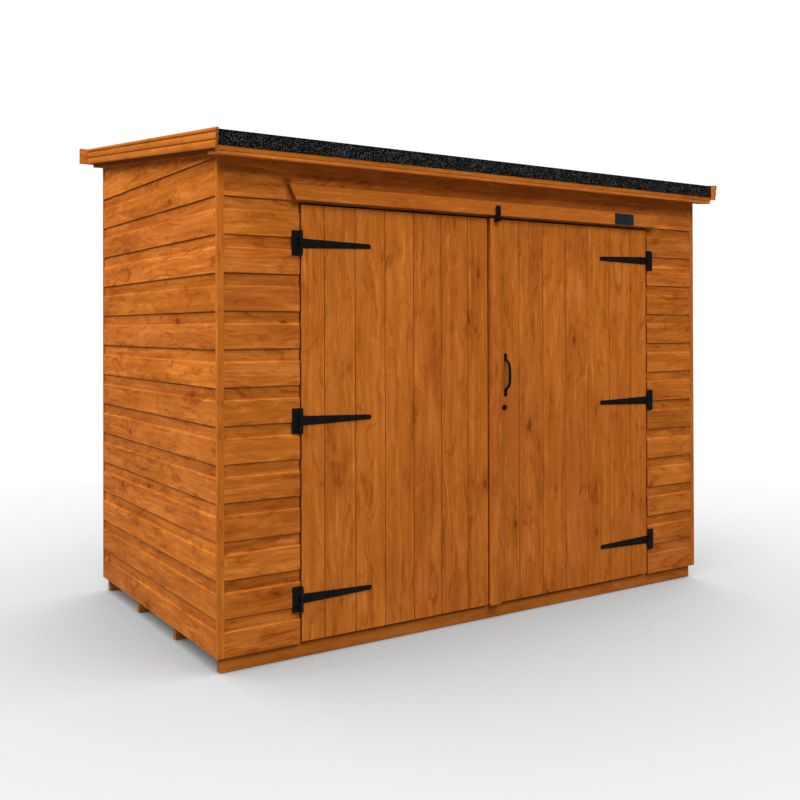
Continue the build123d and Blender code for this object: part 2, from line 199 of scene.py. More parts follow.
# ------------------------------------------------------------------ materials
class Nodes:
    def __init__(self, name):
        self.mat = bpy.data.materials.new(name)
        self.mat.use_nodes = True
        self.t = self.mat.node_tree
        self.t.nodes.clear()
        self.out = self.t.nodes.new("ShaderNodeOutputMaterial")
        self.bsdf = self.t.nodes.new("ShaderNodeBsdfPrincipled")
        self.link(self.bsdf.outputs[0], self.out.inputs[0])

    def link(self, a, b):
        self.t.links.new(a, b)

    def new(self, kind, **kw):
        n = self.t.nodes.new(kind)
        for k, v in kw.items():
            setattr(n, k, v)
        return n

    def put(self, socket, value):
        if isinstance(value, bpy.types.NodeSocket):
            self.link(value, socket)
        else:
            socket.default_value = value

    def math(self, op, a, b=0.0, c=0.0, clamp=False):
        n = self.new("ShaderNodeMath", operation=op, use_clamp=clamp)
        self.put(n.inputs[0], a)
        self.put(n.inputs[1], b)
        if len(n.inputs) > 2:
            self.put(n.inputs[2], c)
        return n.outputs[0]

    def attr(self, name):
        return self.new("ShaderNodeAttribute", attribute_name=name)

    def scale(self, vec, s):
        n = self.new("ShaderNodeVectorMath", operation="MULTIPLY")
        self.put(n.inputs[0], vec)
        self.put(n.inputs[1], s)
        return n.outputs[0]

    def add(self, a, b):
        n = self.new("ShaderNodeVectorMath", operation="ADD")
        self.put(n.inputs[0], a)
        self.put(n.inputs[1], b)
        return n.outputs[0]

    def noise(self, vec, scale=1.0, detail=3.0, rough=0.5, dist=0.0):
        n = self.new("ShaderNodeTexNoise")
        self.put(n.inputs["Vector"], vec)
        n.inputs["Scale"].default_value = scale
        n.inputs["Detail"].default_value = detail
        n.inputs["Roughness"].default_value = rough
        n.inputs["Distortion"].default_value = dist
        return n

    def map(self, v, a, b, c=0.0, d=1.0, smooth=True):
        n = self.new("ShaderNodeMapRange", interpolation_type="SMOOTHSTEP" if smooth else "LINEAR")
        self.put(n.inputs["Value"], v)
        n.inputs["From Min"].default_value = a
        n.inputs["From Max"].default_value = b
        n.inputs["To Min"].default_value = c
        n.inputs["To Max"].default_value = d
        return n.outputs["Result"]

    def ramp(self, fac, stops):
        n = self.new("ShaderNodeValToRGB")
        cr = n.color_ramp
        while len(cr.elements) < len(stops):
            cr.elements.new(0.5)
        for e, (p, c) in zip(cr.elements, stops):
            e.position = p
            e.color = (*c, 1)
        self.put(n.inputs[0], fac)
        return n.outputs[0]

    def mix(self, fac, a, b, mode="MIX"):
        n = self.new("ShaderNodeMix", data_type="RGBA", blend_type=mode)
        self.put(n.inputs[0], fac)
        self.put(n.inputs[6], a if isinstance(a, bpy.types.NodeSocket) else (*a, 1))
        self.put(n.inputs[7], b if isinstance(b, bpy.types.NodeSocket) else (*b, 1))
        return n.outputs[2]

    def bump(self, height, strength, distance, normal=None):
        n = self.new("ShaderNodeBump")
        n.inputs["Strength"].default_value = strength
        n.inputs["Distance"].default_value = distance
        self.put(n.inputs["Height"], height)
        if normal is not None:
            self.link(normal, n.inputs["Normal"])
        return n.outputs[0]


def wood(name, dark, mid, light, spread=0.16, rough=0.56, knots=1.0, shine=0.05, contrast=1.0):
    """Stained softwood. Streaks, soft smudges and growth rings follow each board's own length; small knots push the rings aside."""
    k = Nodes(name)
    g0 = k.attr("grain").outputs["Vector"]
    bsep = k.new("ShaderNodeSeparateXYZ")
    k.link(k.attr("board").outputs["Vector"], bsep.inputs[0])
    r1, r2, r3 = bsep.outputs

    # small knots: one cell now and then along the board
    kv = k.add(k.scale(g0, (6.5, 12.0, 12.0)), k.scale(k.noise(k.scale(g0, (18, 40, 40)), 1.0, 2, 0.5).outputs["Color"], (0.22, 0.22, 0.22)))
    vor = k.new("ShaderNodeTexVoronoi", feature="F1")
    k.link(kv, vor.inputs["Vector"])
    vor.inputs["Scale"].default_value = 1.0
    dist = vor.outputs["Distance"]
    vsep = k.new("ShaderNodeSeparateColor")
    k.link(vor.outputs["Color"], vsep.inputs[0])
    has = k.map(vsep.outputs[0], 0.72, 0.80)
    core = k.math("MULTIPLY", k.map(dist, 0.17, 0.04), has)
    halo = k.math("MULTIPLY", k.map(dist, 0.62, 0.04), has)

    # the grain wanders a little along the board
    warp = k.noise(k.scale(g0, (4.0, 9.0, 9.0)), 1.0, 3, 0.55).outputs["Color"]
    g = k.add(g0, k.scale(warp, (0.10, 0.035, 0.02)))
    sep = k.new("ShaderNodeSeparateXYZ")
    k.link(g, sep.inputs[0])
    across = sep.outputs[1]
    fine = k.noise(k.scale(g, (6.0, 170, 170)), 1.0, 3, 0.55, 0.2).outputs["Fac"]
    streak = k.noise(k.scale(g, (2.0, 48, 48)), 1.0, 3, 0.55, 0.3).outputs["Fac"]
    smudge = k.noise(k.scale(g, (7.5, 22, 22)), 1.0, 4, 0.66, 1.5).outputs["Fac"]
    # painted sheen: lighter streaks along the grain, put into the colour
    painted_sheen = k.noise(k.scale(g, (5.0, 58, 58)), 1.0, 3, 0.6, 0.8).outputs["Fac"]
    cloud = k.noise(k.scale(g, (3.0, 7.0, 7.0)), 1.0, 2, 0.5, 0.6).outputs["Fac"]

    # growth rings show as long curved lines where the board was cut flat
    wob = k.noise(k.scale(g0, (2.2, 6.0, 6.0)), 1.0, 2, 0.5).outputs["Fac"]
    at = k.math("ADD", k.math("MULTIPLY", across, 360.0), k.math("MULTIPLY", wob, 62.0))
    at = k.math("ADD", at, k.math("MULTIPLY", halo, 9.0))
    ring = k.math("MULTIPLY_ADD", k.math("SINE", at), 0.5, 0.5)
    ring = k.math("POWER", ring, 2.2)
    flat = k.map(k.noise(k.scale(g0, (1.6, 9, 9)), 1.0, 2, 0.5).outputs["Fac"], 0.45, 0.62)
    ring = k.math("MULTIPLY", ring, flat)

    c = contrast
    fac = k.math("MULTIPLY", k.math("SUBTRACT", fine, 0.5), 0.26 * c)
    fac = k.math("ADD", fac, k.math("MULTIPLY", k.math("SUBTRACT", streak, 0.5), 0.66 * c))
    fac = k.math("SUBTRACT", fac, k.math("MULTIPLY", k.map(smudge, 0.51, 0.74), 0.36 * c))
    fac = k.math("ADD", fac, k.math("MULTIPLY", k.map(smudge, 0.46, 0.30), 0.14 * c))
    fac = k.math("ADD", fac, k.math("MULTIPLY", k.map(painted_sheen, 0.56, 0.74), 0.26 * c))
    fac = k.math("ADD", fac, k.math("MULTIPLY", k.math("SUBTRACT", cloud, 0.5), 0.42 * c))
    fac = k.math("SUBTRACT", fac, k.math("MULTIPLY", ring, 0.11 * c))
    fac = k.math("SUBTRACT", fac, k.math("MULTIPLY", halo, 0.10 * knots))
    fac = k.math("ADD", fac, 0.54)
    col = k.ramp(fac, [(0.22, dark), (0.50, mid), (0.78, light)])
    col = k.mix(k.math("MULTIPLY", core, 0.70 * knots), col, (dark[0] * 0.40, dark[1] * 0.33, dark[2] * 0.3))
    # each board takes the stain a little differently
    tone = k.math("MULTIPLY_ADD", r1, spread, 1.0 - spread / 2)
    tint = k.new("ShaderNodeCombineColor")
    k.link(tone, tint.inputs[0])
    k.link(k.math("MULTIPLY", tone, k.math("MULTIPLY_ADD", r2, 0.08, 0.96)), tint.inputs[1])
    k.link(k.math("MULTIPLY", tone, k.math("MULTIPLY_ADD", r3, 0.20, 0.90)), tint.inputs[2])
    col = k.mix(1.0, col, tint.outputs[0], "MULTIPLY")
    # painted shade: rebates, the lips' undersides, bargeboard grooves, door V-joints and bored holes are darkened by
    # this weight
    deep = k.attr("painted_shade").outputs["Fac"]
    col = k.mix(k.math("MULTIPLY", deep, 0.13, clamp=True), col, (0.10, 0.020, 0.002))
    end = k.attr("endgrain").outputs["Fac"]
    col = k.mix(k.math("MULTIPLY", end, 0.5), col, (dark[0] * 0.62, dark[1] * 0.56, dark[2] * 0.5))
    k.link(col, k.bsdf.inputs["Base Color"])
    k.link(k.math("MULTIPLY_ADD", streak, 0.24, rough - 0.12), k.bsdf.inputs["Roughness"])
    k.bsdf.inputs["Specular IOR Level"].default_value = shine
    h = k.math("ADD", k.math("MULTIPLY", fine, 0.5), k.math("MULTIPLY", ring, 0.35))
    h = k.math("SUBTRACT", h, k.math("MULTIPLY", core, 0.6))
    k.link(k.bump(h, 0.5, 0.0006), k.bsdf.inputs["Normal"])
    return k.mat


def iron(name, base=(0.0042, 0.0042, 0.0041)):
    """Black powder coat: fine orange peel, edges rubbed a little paler."""
    k = Nodes(name)
    tc = k.new("ShaderNodeTexCoord").outputs["Object"]
    n1 = k.noise(tc, 900, 2, 0.5).outputs["Fac"]
    n2 = k.noise(tc, 60, 3, 0.6).outputs["Fac"]
    col = k.ramp(n2, [(0.3, base), (0.7, (base[0] * 1.9, base[1] * 1.9, base[2] * 2.0))])
    geo = k.new("ShaderNodeNewGeometry")
    worn = k.math("MULTIPLY", k.map(geo.outputs["Pointiness"], 0.53, 0.62), k.map(n2, 0.42, 0.7))
    col = k.mix(k.math("MULTIPLY", worn, 0.4), col, (0.028, 0.028, 0.028))
    k.link(col, k.bsdf.inputs["Base Color"])
    k.link(k.math("MULTIPLY_ADD", n2, 0.25, 0.40), k.bsdf.inputs["Roughness"])
    k.bsdf.inputs["Specular IOR Level"].default_value = 0.12
    k.link(k.bump(n1, 0.35, 0.0003), k.bsdf.inputs["Normal"])
    return k.mat


def felt_mat(name):
    """Mineral felt: near black, with loose grey and slate granules about 1 to 3 mm across."""
    k = Nodes(name)
    tc = k.new("ShaderNodeTexCoord").outputs["Object"]
    v = k.new("ShaderNodeTexVoronoi", feature="F1")
    k.link(tc, v.inputs["Vector"])
    v.inputs["Scale"].default_value = 400
    vs = k.new("ShaderNodeSeparateColor")
    k.link(v.outputs["Color"], vs.inputs[0])
    v2 = k.new("ShaderNodeTexVoronoi", feature="F1")
    k.link(tc, v2.inputs["Vector"])
    v2.inputs["Scale"].default_value = 330
    vs2 = k.new("ShaderNodeSeparateColor")
    k.link(v2.outputs["Color"], vs2.inputs[0])
    patch = k.noise(tc, 26, 4, 0.65).outputs["Fac"]
    grey = k.ramp(vs.outputs[0], [(0.0, (0.002, 0.0022, 0.0022)), (0.70, (0.0045, 0.005, 0.005)), (0.90, (0.028, 0.029, 0.029)), (1.0, (0.12, 0.12, 0.115))])
    big = k.math("MULTIPLY", k.map(vs2.outputs[1], 0.84, 0.90), k.map(v2.outputs["Distance"], 0.46, 0.24))
    col = k.mix(k.math("MULTIPLY", big, 0.8), grey, (0.17, 0.17, 0.165))
    col = k.mix(k.map(patch, 0.42, 0.66, 0.0, 0.55), col, (0.003, 0.0034, 0.0036))
    k.link(col, k.bsdf.inputs["Base Color"])
    k.link(k.math("MULTIPLY_ADD", vs.outputs[1], 0.25, 0.7), k.bsdf.inputs["Roughness"])
    k.bsdf.inputs["Specular IOR Level"].default_value = 0.05
    h = k.math("ADD", k.math("MULTIPLY", v.outputs["Distance"], -0.8), k.math("MULTIPLY", big, 0.8))
    k.link(k.bump(h, 0.8, 0.0016), k.bsdf.inputs["Normal"])
    return k.mat


def slate(name):
    k = Nodes(name)
    tc = k.new("ShaderNodeTexCoord").outputs["Object"]
    n2 = k.noise(tc, 45, 4, 0.6).outputs["Fac"]
    brush = k.noise(k.scale(tc, (40, 40, 1600)), 1.0, 3, 0.6).outputs["Fac"]
    col = k.ramp(n2, [(0.3, (0.009, 0.013, 0.017)), (0.7, (0.017, 0.023, 0.029))])
    k.link(col, k.bsdf.inputs["Base Color"])
    k.link(k.math("MULTIPLY_ADD", brush, 0.2, 0.38), k.bsdf.inputs["Roughness"])
    k.bsdf.inputs["Specular IOR Level"].default_value = 0.35
    k.link(k.bump(brush, 0.2, 0.0002), k.bsdf.inputs["Normal"])
    return k.mat


def zinc(name):
    k = Nodes(name)
    tc = k.new("ShaderNodeTexCoord").outputs["Object"]
    v = k.new("ShaderNodeTexVoronoi", feature="F1")
    k.link(tc, v.inputs["Vector"])
    v.inputs["Scale"].default_value = 500
    col = k.ramp(v.outputs["Distance"], [(0.0, (0.20, 0.11, 0.055)), (1.0, (0.11, 0.05, 0.022))])
    k.link(col, k.bsdf.inputs["Base Color"])
    k.bsdf.inputs["Metallic"].default_value = 0.4
    k.link(k.math("MULTIPLY_ADD", v.outputs["Distance"], 0.3, 0.4), k.bsdf.inputs["Roughness"])
    return k.mat


DARK, MID, LIGHT = (0.280, 0.064, 0.0068), (0.430, 0.116, 0.0140), (0.600, 0.188, 0.0300)
M_CLAD = wood("stained_shiplap", DARK, MID, LIGHT)
M_DOOR = wood("stained_door_boards", DARK, MID, LIGHT, spread=0.08, knots=1.0, contrast=0.76)
M_TRIM = wood("stained_trim", DARK, MID, LIGHT, spread=0.16, knots=0.5, contrast=0.6)
M_FRAME = wood("planed_framing", (0.33, 0.115, 0.027), (0.46, 0.185, 0.050), (0.60, 0.275, 0.090), spread=0.2, rough=0.6)
M_FLOOR = wood("floor_timber", (0.31, 0.105, 0.024), (0.44, 0.17, 0.043), (0.56, 0.25, 0.078), spread=0.2, rough=0.62)
M_IRON = iron("black_ironwork")
M_FELT = felt_mat("mineral_felt")
M_SLATE = slate("slate_plate")
M_NAIL = zinc("nail_heads")

# ------------------------------------------------------------------ shiplap walls
FACE_TOP = 0.640 * PITCH * 1000
P1 = PITCH * 1000


def ship_profile(first=False, plain=False):
    """Section of one board: a up the wall, o outwards from the slab's outer face. The upper third is cut back in a cove that the next board's lip hangs over; a plain board keeps its face to the top."""
    top = P1 + 8
    lip = 0.0 if first else 0.2
    pts = [(lip, -4.9), (lip, -1.3), (lip + 0.3, -0.4), (lip + 1.2, 0.0), (lip + 2.4, 0.0)]
    f = FACE_TOP
    if plain:
        pts += [(f, 0.0), (top, 0.0), (top, -12.0)]
    else:
        pts += [(f - 1.2, 0.0), (f, 0.0), (f + 0.6, -0.3), (f + 1.2, -0.9), (f + 4.4, -4.1), (f + 5.2, -4.7), (f + 6.4, -4.95), (f + 8.0, -5.0), (f + 9.5, -5.0)]
        pts += [(P1 - 1, -5.0), (top, -5.0), (top, -12.0)]
    if first:
        pts += [(0.0, -12.0)]
    else:
        pts += [(9.5, -12.0), (9.5, -4.9)]
    return mm(pts)


def rebate(a, o):
    """Painted shade: darker in the rebate and darker still on the lip's underside."""
    if a > (FACE_TOP + 4.0) * 0.001 and o < -0.003:
        return 1.0
    return 4.0 if a < 0.0008 and o < -0.001 else 0.0


def shiplap(b, origin, along, out, length, count, cuts=(), drop=0.0):
    for i in range(count):
        b.prism(ship_profile(i == 0), Vector(origin) + Z * (i * PITCH - (drop if i else 0.0)), along, Z, out, 0.0, length, cuts=cuts, step=0.26, bow=0.0005, painted_shade=rebate)


roof_cut = ((0, Y0, under(Y0) - 0.0002), Vector((0, -SLOPE, 1)).normalized())

b = Boards(11)
# beside the doorway up to its head, then one board right across over it
LW = 0.279 - CORNER - 0.0008
shiplap(b, (X0 + CORNER + 0.0001, Y0, Z0), X, -Y, LW, 12)
shiplap(b, (DOOR_R + 0.0006, Y0, Z0), X, -Y, LW, 12)
b.prism(ship_profile(False, True), (X0 + CORNER + 0.0001, Y0, Z0 + 12 * PITCH), X, Z, -Y, 0, W - 2 * CORNER - 0.0002, cuts=[roof_cut], step=0.3, bow=0.0005, painted_shade=rebate)
b.done("front_cladding", "root", M_CLAD, ("front_wall_left", "front_wall_right", "front_header"))

b = Boards(23)
shiplap(b, (X0, Y0 + COR_D + 0.0001, Z0), Y, -X, D - 2 * COR_D - 0.0002, 15, cuts=[roof_cut], drop=0.0015)
b.done("left_cladding", "root", M_CLAD, ("left_wall",))
b = Boards(31)
shiplap(b, (X1, Y0 + COR_D + 0.0001, Z0), Y, X, D - 2 * COR_D - 0.0002, 15, cuts=[roof_cut], drop=0.0015)
b.done("right_cladding", "root", M_CLAD, ("right_wall",))
b = Boards(47)
shiplap(b, (X0 + CORNER + 0.0001, Y1, Z0), X, Y, W - 2 * CORNER - 0.0002, 15, cuts=[roof_cut])
b.done("back_cladding", "root", M_CLAD, ("back_wall",))

for i, (name, cx, cy) in enumerate((
    ("corner_front_left", X0, Y0), ("corner_front_right", X1 - CORNER, Y0),
    ("corner_back_left", X0, Y1 - COR_D), ("corner_back_right", X1 - CORNER, Y1 - COR_D),
)):
    b = Boards(60 + i)
    # only the arris at the shed's own corner is eased
    ease = [0.0015 if j == (0, 1, 3, 2)[i] else 0.0 for j in range(4)]
    b.prism(rect(cx, cx + CORNER, cy, cy + COR_D, ease, 3), (0, 0, 0), Z, X, Y, Z0, lambda p: under(p.y), shade=0.3)
    b.done(name + "_strip", "root", M_TRIM, (name,))

# ------------------------------------------------------------------ base
ZK = Z0 - 0.004
b = Boards(71)
b.prism(round_poly([(Y0 + 0.018, 0), (Y0 + 0.043, 0), (Y0 + 0.043, ZK), (Y0 + 0.018, ZK)], 0.004, 3), (0, 0, 0), X, Y, Z, X0 + 0.016, X1 - 0.016, step=0.3, shade=0.5)
b.done("kick_board_timber", "root", M_TRIM, ("kick_board",))
b = Boards(72)
for yy in (Y0 + 0.398, Y0 + 0.776, Y1 - 0.018 - 0.025):
    b.bar((X0 + 0.016, X1 - 0.016), (yy, yy + 0.025), (0, ZK), "X", 0.002, step=0.4)
b.done("floor_bearer_timbers", "root", M_FLOOR, ("floor_bearers",))

b = Boards(73)
FX0, FX1, FY0, FY1 = X0 + 0.016, X1 - 0.016, Y0 + 0.018, Y1 - 0.018
nb = 18
fp = (FX1 - FX0) / nb
fprof = mm([(0.4, -12), (0.4, -1.0), (1.4, 0), (fp * 1000 - 1.4, 0), (fp * 1000 - 0.4, -1.0), (fp * 1000 - 0.4, -4), (fp * 1000 + 4, -4), (fp * 1000 + 4, -8), (fp * 1000 - 0.4, -8), (fp * 1000 - 0.4, -12)])
fprof_first = fprof
fgroove = mm([(0.4, -12), (0.4, -8.2), (5, -8.2), (5, -3.8), (0.4, -3.8), (0.4, -1.0), (1.4, 0), (fp * 1000 - 1.4, 0), (fp * 1000 - 0.4, -1.0), (fp * 1000 - 0.4, -4), (fp * 1000 + 4, -4), (fp * 1000 + 4, -8), (fp * 1000 - 0.4, -8), (fp * 1000 - 0.4, -12)])
flast = mm([(0.4, -12), (0.4, -8.2), (5, -8.2), (5, -3.8), (0.4, -3.8), (0.4, -1.0), (1.4, 0), (fp * 1000 - 1.4, 0), (fp * 1000 - 0.4, -1.0), (fp * 1000 - 0.4, -12)])
for i in range(nb):
    pr = fprof_first if i == 0 else flast if i == nb - 1 else fgroove
    b.prism(pr, (FX0 + i * fp, 0, Z0 + 0.008), Y, X, Z, FY0, FY1, step=0.3, bow=0.0002)
b.done("floor_boarding", "root", M_FLOOR, ("floor_deck",))

# ------------------------------------------------------------------ framing inside
ZFL = Z0 + 0.008
LOW = ZFL + FW
YI0 = Y0 + CLAD
YI1 = Y1 - CLAD - FT


def rail_top(y):
    return under(y) - FW


b = Boards(81)
for cx in (X0 + CORNER + FW / 2, -0.514, 0.0, 0.514, X1 - CORNER - FW / 2):
    b.prism(rect(cx - FW / 2, cx + FW / 2, YI1, YI1 + FT), (0, 0, 0), Z, X, Y, LOW, lambda p: rail_top(p.y))
b.done("back_studs", "root", M_FRAME, ("back_wall_studs",))
b = Boards(82)
b.bar((X0 + CORNER, X1 - CORNER), (YI1, YI1 + FT), (ZFL, LOW), "X", step=0.4)
b.prism(round_poly([(YI1, rail_top(YI1)), (YI1 + FT, rail_top(YI1 + FT)), (YI1 + FT, under(YI1 + FT)), (YI1, under(YI1))], 0.0015), (0, 0, 0), X, Y, Z, X0 + CORNER, X1 - CORNER, step=0.4)
b.done("back_rails", "root", M_FRAME, ("back_wall_rails",))

YS0, YS1 = Y0 + CLAD + FT, YI1
for side, sx, sd in (("left", X0 + CLAD, 83), ("right", X1 - CLAD - FT, 85)):
    b = Boards(sd)
    for sy in (YS0, (YS0 + YS1) / 2 - FW / 2, YS1 - FW):
        b.prism(rect(sx, sx + FT, sy, sy + FW), (0, 0, 0), Z, X, Y, LOW, lambda p: rail_top(p.y))
    b.done(side + "_studs", "root", M_FRAME, (side + "_wall_studs",))
    b = Boards(sd + 1)
    b.bar((sx, sx + FT), (YS0, YS1), (ZFL, LOW), "Y", step=0.4)
    b.prism(rect(sx, sx + FT, 0, FW), (0, 0, rail_top(0)), UP_ROOF, X, Z, YS0, YS1)
    b.done(side + "_rails", "root", M_FRAME, (side + "_wall_rails",))

FRL = Z0 + 1.520 - FW
b = Boards(88)
for px in (X0 + CORNER, DOOR_L - FW, DOOR_R, X1 - CORNER - FW):
    b.bar((px, px + FW), (YI0, YI0 + FT), (LOW, FRL), "Z")
b.done("front_post_timbers", "root", M_FRAME, ("front_posts",))
b = Boards(89)
for px in (X0 + CORNER, DOOR_R):
    b.bar((px, px + 0.279 - CORNER), (YI0, YI0 + FT), (ZFL, LOW), "X")
b.bar((DOOR_L, DOOR_R), (YI0, YI0 + FT), (Z0 + 1.395, Z0 + 1.395 + FW), "X", step=0.4)
b.prism(round_poly([(YI0, FRL), (YI0 + FT, FRL), (YI0 + FT, under(YI0 + FT)), (YI0, under(YI0))], 0.0015), (0, 0, 0), X, Y, Z, X0 + CORNER, X1 - CORNER, step=0.4)
b.done("front_rail_timbers", "root", M_FRAME, ("front_rails",))

# ------------------------------------------------------------------ roof
RY0 = YF + 0.003 + 0.016
SOFF0, SOFF1 = -0.004, 0.007
b = Boards(91)
for sx in (X0 + CLAD - 0.028, X1 - CLAD):
    # notched over the soffit board at the front
    pr = round_poly([(RY0, under(RY0) + SOFF1), (Y0, under(Y0) + SOFF1), (Y0, under(Y0)), (YR, under(YR)), (YR, under(YR) + RAIL), (RY0, under(RY0) + RAIL)], [0.0015, 0, 0, 0.0015, 0.0015, 0.0015])
    b.prism(pr, (0, 0, 0), X, Y, Z, sx, sx + 0.028, shade=0.4)
b.done("roof_side_timbers", "root", M_TRIM, ("roof_side_rails",))
b = Boards(92)
for ya, low in ((RY0, SOFF1), (Y0, 0.0), ((Y0 + Y1) / 2 - 0.014, 0.0), (Y1 - 0.028, 0.0), (YR - 0.028, 0.0)):
    yb = ya + 0.028
    b.prism(round_poly([(ya, under(ya) + low), (yb, under(yb) + low), (yb, under(yb) + RAIL), (ya, under(ya) + RAIL)], 0.002), (0, 0, 0), X, Y, Z, X0 + CLAD, X1 - CLAD, step=0.5, shade=0.4)
b.done("roof_cross_timbers", "root", M_TRIM, ("roof_cross_rails",))

b = Boards(93)
nr = 12
ry0, ry1 = YF + 0.003, YR
rp = (ry1 - ry0) / nr
for i in range(nr):
    ya = ry0 + i * rp
    pr = mm([(0.4, 0), (rp * 1000 - 0.4, 0), (rp * 1000 - 0.4, 10.6), (0.4, 10.6)])
    pr = [(a, o + SLOPE * a) for a, o in pr]
    b.prism(pr, (0, ya, under(ya) + RAIL), X, Y, Z, XL, XR, step=0.5)
b.done("roof_boarding", "root", M_FRAME, ("roof_deck",))

ya = YF + 0.003
b = Boards(94)
b.prism(round_poly([(ya, under(ya) + SOFF1), (ya + 0.016, under(ya + 0.016) + SOFF1), (ya + 0.016, under(ya + 0.016) + RAIL), (ya, under(ya) + RAIL)], [0.0032, 0.001, 0.001, 0.002]), (0, 0, 0), X, Y, Z, XL, XR, step=0.3, shade=0.6)
b.done("eaves_board_timber", "root", M_TRIM, ("eaves_board",))
b = Boards(95)
b.prism(round_poly([(ya, under(ya) + SOFF0), (Y0, under(Y0) + SOFF0), (Y0, under(Y0) + SOFF1), (ya, under(ya) + SOFF1)], [0.002, 0.0005, 0.0005, 0.0032]), (0, 0, 0), X, Y, Z, XL + 0.0025, XR - 0.0025, step=0.3, shade=0.8)
b.done("eaves_soffit_timber", "root", M_TRIM, ("eaves_soffit",))


def ridged(t, h, low, high, n=5, deep=0.0030):
    """Grooved board's section: three softly crowned ridges on the outer face, which is at 0 in the second number; the grooves are at low and high."""
    pts = []
    stops = (0.0, low, high, h)
    for r in range(3):
        a, c = stops[r], stops[r + 1]
        if r:
            pts += [(a - 0.0016, deep), (a + 0.0016, deep)]
        a2, c2 = a + (0.0029 if r else 0.0016), c - (0.0029 if r < 2 else 0.0016)
        if r == 0:
            pts.append((0.0, 0.0018))
        for j in range(n + 1):
            f = j / n
            pts.append((a2 + (c2 - a2) * f, 0.0008 * (2 * f - 1) ** 2))
        if r == 2:
            pts.append((h, 0.0018))
    return pts + [(h, t), (0, t)]


# painted shade: the bottoms of the bargeboard grooves are darkened
def grooves(a, o):
    return 3.0 if o > 0.0025 and o < 0.0035 else 0.0


TILT = math.atan(SLOPE)
BT, BH = 0.0085, 0.060
by = YF - 0.022 + BH * math.sin(TILT)
d_along = Vector((0, math.cos(TILT), math.sin(TILT)))
d_up = Vector((0, -math.sin(TILT), math.cos(TILT)))
for side, sgn, bx, lo_g, hi_g, sd in (("left", 1, XL - BT, 0.024, 0.047, 101), ("right", -1, XR + BT, 0.013, 0.036, 102)):
    b = Boards(sd)
    b.prism(ridged(BT, BH, lo_g, hi_g), (bx, by, under(by) + 0.0123), d_along, d_up, X * sgn, 0.0, (YR - by) / math.cos(TILT) + 0.02,
            cuts=[((0, YR, 0), Y)], shade=0.15, painted_shade=grooves)
    b.done(side + "_bargeboard_moulding", "root", M_TRIM, (side + "_bargeboard",), smooth=28)
b = Boards(103)
FT_R = 0.014
b.prism(ridged(FT_R, BH, 0.024, 0.047), (0, YR + FT_R, under(YR) + 0.0123), X, Z, -Y, XL - BT - 0.028, XR + BT + 0.028, step=0.4, bow=0.0, shade=0.45, painted_shade=grooves)
b.done("rear_fascia_moulding", "root", M_TRIM, ("rear_fascia",), smooth=28)


def felt():
    """Two sheets laid along the roof, the upper lapping the lower, turned down over the front edge."""
    bm = bmesh.new()
    top = RAIL + 0.011 + 0.0029
    path = []
    z_top = under(YF) + RAIL + 0.014
    for i in range(7):
        path.append((YF, z_top - 0.048 + (0.0455) * i / 6, (-1, 0)))
    for i in range(1, 5):
        a = math.radians(90 * i / 5)
        path.append((YF + 0.0025 - 0.0025 * math.cos(a), z_top - 0.0025 + 0.0024 * math.sin(a), (-math.cos(a), math.sin(a))))
    lap = 0.02
    n = 44
    for i in range(n + 1):
        y = YF + 0.004 + (YR - YF - 0.0045) * i / n
        path.append((y, under(y) + top, (0, 1)))
    for e, dz in ((-0.0004, 0.0), (0.0004, 0.0016)):
        y = lap + e
        path.append((y, under(y) + top + dz, (0, 1)))
    path.sort(key=lambda q: (0, q[1]) if q[0] == YF else (1, q[0]))
    nx = 70
    t = 0.0026
    rows_o, rows_i = [], []
    for (y, z, (ny, nz)) in path:
        ro, ri = [], []
        for j in range(nx + 1):
            x = XL + 0.0004 + (XR - XL - 0.0008) * j / nx
            sag = 0.0009 * (noise.noise(Vector((x * 3.1, y * 4.0, 2.0))) - 0.35)
            if y > lap and y < lap + 0.2 and nz:
                z_extra = 0.0016 * (1 - (y - lap) / 0.2) if nz == 1 else 0
            else:
                z_extra = 0.0
            if y == lap + 0.0004:
                z_extra = 0.0
            p = Vector((x, y, z + z_extra))
            if nz == 1:
                p.z += min(0.0, sag) * min(1.0, (y - YF) / 0.05) - (0.0017 if y > lap - 0.01 else 0.0002)
            elif nz == 0:
                # the drop edge waves a little along the roof
                wave = 0.0008 * noise.noise(Vector((x * 9.0, 0, 5.0)))
                p.y += 0.0006 + abs(wave)
                if z < z_top - 0.0475:
                    p.z += 0.0012 * (noise.noise(Vector((x * 14.0, 3.0, 0))) + 0.4)
            ro.append(bm.verts.new(p))
            q = p - Vector((0, ny, nz)) * t * 0.8
            ri.append(bm.verts.new(q))
        rows_o.append(ro)
        rows_i.append(ri)
    m = len(path)
    for i in range(m - 1):
        for j in range(nx):
            bm.faces.new((rows_o[i][j], rows_o[i][j + 1], rows_o[i + 1][j + 1], rows_o[i + 1][j]))
            bm.faces.new((rows_i[i][j], rows_i[i + 1][j], rows_i[i + 1][j + 1], rows_i[i][j + 1]))
    for i in range(m - 1):
        bm.faces.new((rows_o[i][0], rows_o[i + 1][0], rows_i[i + 1][0], rows_i[i][0]))
        bm.faces.new((rows_o[i][nx], rows_i[i][nx], rows_i[i + 1][nx], rows_o[i + 1][nx]))
    for j in range(nx):
        bm.faces.new((rows_o[0][j], rows_i[0][j], rows_i[0][j + 1], rows_o[0][j + 1]))
        bm.faces.new((rows_o[-1][j], rows_o[-1][j + 1], rows_i[-1][j + 1], rows_i[-1][j]))
    bmesh.ops.recalc_face_normals(bm, faces=bm.faces)
    me = bpy.data.meshes.new("roof_felt_sheets")
    bm.to_mesh(me)
    bm.free()
    return place("roof_felt_sheets", me, "root", M_FELT, ("roof_felt",), 40)


felt()

